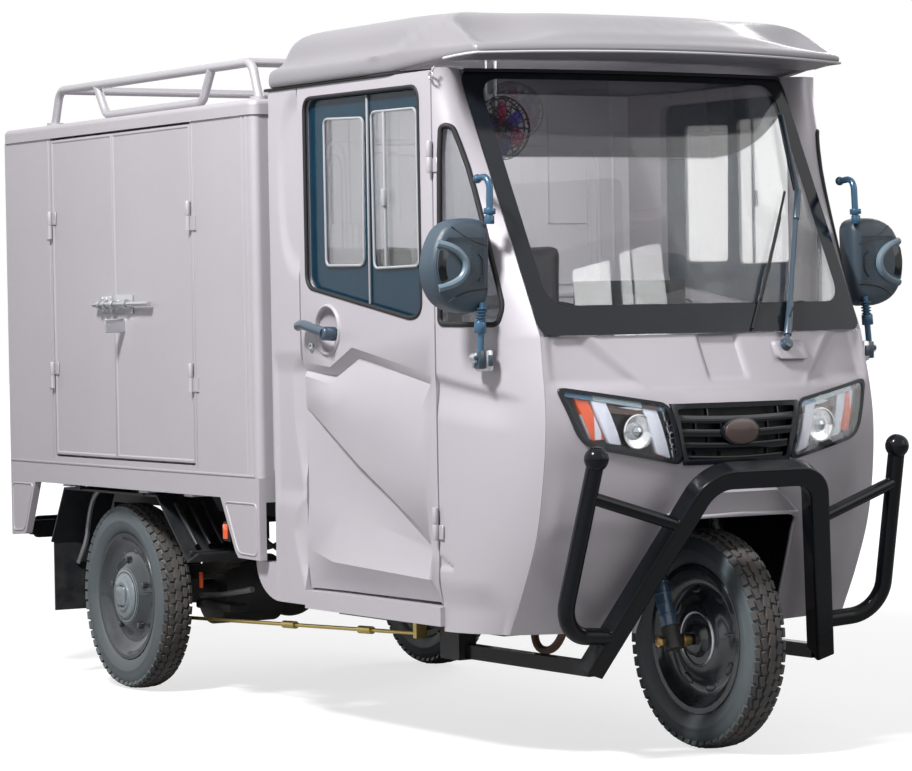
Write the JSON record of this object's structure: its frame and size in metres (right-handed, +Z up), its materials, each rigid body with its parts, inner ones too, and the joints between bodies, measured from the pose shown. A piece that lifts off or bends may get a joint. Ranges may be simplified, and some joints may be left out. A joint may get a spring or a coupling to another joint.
{
  "type": "enclosed electric cargo tricycle",
  "caption": "Enclosed tricycle with a closed driver's cab over the steered front wheel and a cargo box over the driven rear wheels.",
  "frame": {"origin": "on the floor under the middle of the overall box", "axes": "+X forward, +Y to the vehicle's left, +Z up"},
  "size_m": [2.9299, 1.376, 1.758],
  "materials": {
    "body_paint": "satin warm light grey paint",
    "frame_steel": "dark grey chassis paint, dusty",
    "black_steel": "gloss black paint",
    "black_plastic": "grained black plastic",
    "black_gloss": "gloss black plastic",
    "red_lens": "ribbed red lens",
    "zinc_rod": "yellow zinc plating",
    "floor_rubber": "ribbed floor mat on painted steel",
    "inner_panel": "grained grey plastic",
    "tinted_glass": "dark tint",
    "clear_glass": "laminated, with a dark printed edge band",
    "lamp_lens": "clear lens over dark reflector",
    "seat_cover": "black leatherette",
    "spring_steel": "black painted spring steel",
    "tyre_rubber": "block tread, matt",
    "rim_steel": "gloss black pressed steel"
  },
  "bodies": {
    "vehicle": {"chassis_frame": "frame_steel", "battery_pack": "black_plastic", "cargo_floor": "body_paint", "cargo_walls": "body_paint", "cargo_roof": "body_paint", "roof_rack": "body_paint", "rear_bar": "black_steel", "tail_lamps": "red_lens", "mudguards": "black_plastic", "brake_rod": "zinc_rod", "cab_floor": "floor_rubber", "cab_rear_wall": "inner_panel", "quarter_panels": "body_paint", "side_panels": "body_paint", "quarter_glass": "tinted_glass", "windshield": "clear_glass", "front_fascia": "body_paint", "headlights": "lamp_lens", "grille": "black_gloss", "wheel_arch_liner": "black_plastic", "cab_roof": "body_paint", "front_guard": "black_steel", "dashboard": "inner_panel", "seat_base": "inner_panel", "seat_cushions": "seat_cover", "fan": "black_plastic", "mirrors": "black_gloss", "wiper": "black_gloss", "rear_axle": "frame_steel", "leaf_springs": "spring_steel"},
    "steering": {"front_fork": "black_steel", "front_struts": "black_steel", "handlebar": "black_plastic"},
    "front_wheel": {"front_tyre": "tyre_rubber", "front_rim": "rim_steel"},
    "rear_wheel_right": {"rear_tyre_right": "tyre_rubber", "rear_rim_right": "rim_steel"},
    "rear_wheel_left": {"rear_tyre_left": "tyre_rubber", "rear_rim_left": "rim_steel"},
    "cab_door_right": {"cab_door_right": "body_paint", "door_glass_right": "tinted_glass"},
    "cab_door_left": {"cab_door_left": "body_paint", "door_glass_left": "tinted_glass"},
    "side_leaf_rear": {"side_leaf_rear": "body_paint"},
    "side_leaf_front": {"side_leaf_front": "body_paint"},
    "rear_door_right": {"rear_door_right": "body_paint"},
    "rear_door_left": {"rear_door_left": "body_paint"}
  },
  "joints": [
    {"name": "steering_turn", "type": "hinge", "parent": "vehicle", "child": "steering", "pos_m": [1.16, 0, 0.26], "axis": [-0.342, 0, 0.9397], "range_deg": [-35, 35]},
    {"name": "front_wheel_spin", "type": "hinge", "parent": "steering", "child": "front_wheel", "pos_m": [1.205, 0, 0.26], "axis": [0, 1, 0], "continuous": true},
    {"name": "rear_wheel_right_spin", "type": "hinge", "parent": "vehicle", "child": "rear_wheel_right", "pos_m": [-0.845, -0.484, 0.26], "axis": [0, 1, 0], "continuous": true},
    {"name": "rear_wheel_left_spin", "type": "hinge", "parent": "vehicle", "child": "rear_wheel_left", "pos_m": [-0.845, 0.484, 0.26], "axis": [0, 1, 0], "continuous": true},
    {"name": "cab_door_right_swing", "type": "hinge", "parent": "vehicle", "child": "cab_door_right", "pos_m": [0.916, -0.568, 0.98], "axis": [0, 0, 1], "range_deg": [0, 70]},
    {"name": "cab_door_left_swing", "type": "hinge", "parent": "vehicle", "child": "cab_door_left", "pos_m": [0.916, 0.568, 0.98], "axis": [0, 0, -1], "range_deg": [0, 70]},
    {"name": "side_leaf_rear_swing", "type": "hinge", "parent": "vehicle", "child": "side_leaf_rear", "pos_m": [-1.139, -0.596, 1.1], "axis": [0, 0, -1], "range_deg": [0, 120]},
    {"name": "side_leaf_front_swing", "type": "hinge", "parent": "vehicle", "child": "side_leaf_front", "pos_m": [-0.274, -0.596, 1.1], "axis": [0, 0, 1], "range_deg": [0, 120]},
    {"name": "rear_door_right_swing", "type": "hinge", "parent": "vehicle", "child": "rear_door_right", "pos_m": [-1.458, -0.562, 1.1], "axis": [0, 0, 1], "range_deg": [0, 120]},
    {"name": "rear_door_left_swing", "type": "hinge", "parent": "vehicle", "child": "rear_door_left", "pos_m": [-1.458, 0.562, 1.1], "axis": [0, 0, -1], "range_deg": [0, 120]}
  ]
}
